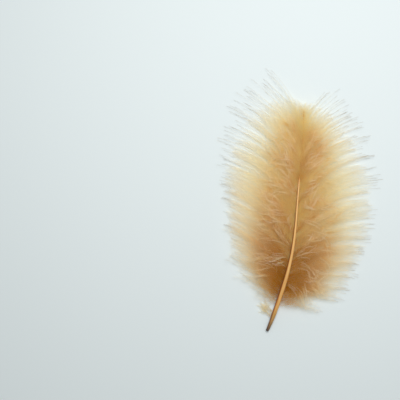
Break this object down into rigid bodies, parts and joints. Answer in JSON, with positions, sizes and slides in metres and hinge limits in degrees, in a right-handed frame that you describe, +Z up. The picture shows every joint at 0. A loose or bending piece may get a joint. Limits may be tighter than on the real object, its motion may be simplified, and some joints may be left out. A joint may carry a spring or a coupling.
{
  "type": "marabou feather",
  "caption": "Soft caramel-dyed marabou feather lying flat: a tapered, gently bowed quill with loose fluffy down fanning out on both sides to a pale wispy fringe.",
  "frame": {"origin": "on the surface that the feather lies on, under the middle of the feather's box", "axes": "+Z up from the surface, +Y along the chord of the shaft from the cut end of the quill to the tip, +X to the right of the shaft seen from above"},
  "size_m": [0.0738, 0.1134, 0.0056],
  "materials": {
    "keratin_shaft": "satin",
    "dyed_down": "matte"
  },
  "bodies": {
    "root": {"shaft": "keratin_shaft", "left_vane": "dyed_down", "right_vane": "dyed_down"}
  },
  "joints": []
}
